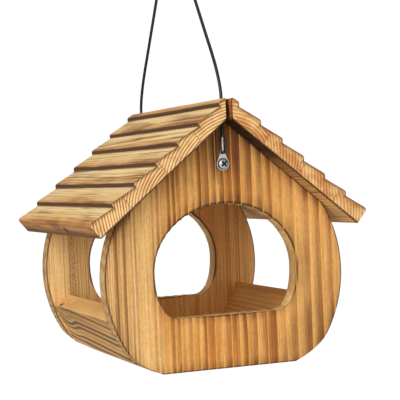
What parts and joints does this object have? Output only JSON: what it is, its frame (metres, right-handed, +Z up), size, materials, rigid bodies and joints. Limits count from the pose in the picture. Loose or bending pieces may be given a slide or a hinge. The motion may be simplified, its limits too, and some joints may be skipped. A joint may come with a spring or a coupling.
{
  "type": "hanging bird feeder",
  "caption": "Wooden gable-roofed bird feeder with round-sided window panels, a sloped tray, a stepped roof and a wire loop to hang it by.",
  "frame": {"origin": "underside of the wire at the apex of the hanging loop, where a hook touches it", "axes": "+Z up, +X to the right across the front gable, +Y from the front panel to the back panel"},
  "size_m": [0.2272, 0.22, 0.3535],
  "materials": {
    "panel_wood": "flame-treated pine, satin",
    "board_wood": "flame-treated pine, satin",
    "roof_wood": "edge-glued pine with scorched shingle risers",
    "dowel_wood": "plain beech",
    "zinc_plate": "bright zinc plate",
    "coated_wire": "black plastic coating over steel wire"
  },
  "bodies": {
    "hanger": {"wire_loop": "coated_wire"},
    "house": {"front_panel": "panel_wood", "back_panel": "panel_wood", "floor_board": "board_wood", "left_side_board": "board_wood", "right_side_board": "board_wood", "left_roof": "roof_wood", "right_roof": "roof_wood", "dowel_front_floor_left": "dowel_wood", "dowel_front_left_board_1": "dowel_wood", "dowel_front_left_board_2": "dowel_wood", "dowel_front_left_roof_1": "dowel_wood", "dowel_front_left_roof_2": "dowel_wood", "dowel_front_floor_right": "dowel_wood", "dowel_front_right_board_1": "dowel_wood", "dowel_front_right_board_2": "dowel_wood", "dowel_front_right_roof_1": "dowel_wood", "dowel_front_right_roof_2": "dowel_wood", "dowel_back_floor_left": "dowel_wood", "dowel_back_left_board_1": "dowel_wood", "dowel_back_left_board_2": "dowel_wood", "dowel_back_left_roof_1": "dowel_wood", "dowel_back_left_roof_2": "dowel_wood", "dowel_back_floor_right": "dowel_wood", "dowel_back_right_board_1": "dowel_wood", "dowel_back_right_board_2": "dowel_wood", "dowel_back_right_roof_1": "dowel_wood", "dowel_back_right_roof_2": "dowel_wood", "front_ring_terminal": "zinc_plate", "back_ring_terminal": "zinc_plate", "front_screw": "zinc_plate", "back_screw": "zinc_plate", "wire_front_drop": "coated_wire", "wire_back_drop": "coated_wire"}
  },
  "joints": [
    {"name": "loop_fold", "type": "hinge", "parent": "hanger", "child": "house", "pos_m": [0, 0, -0.14], "axis": [0, 1, 0], "range_deg": [-110, 110]}
  ]
}
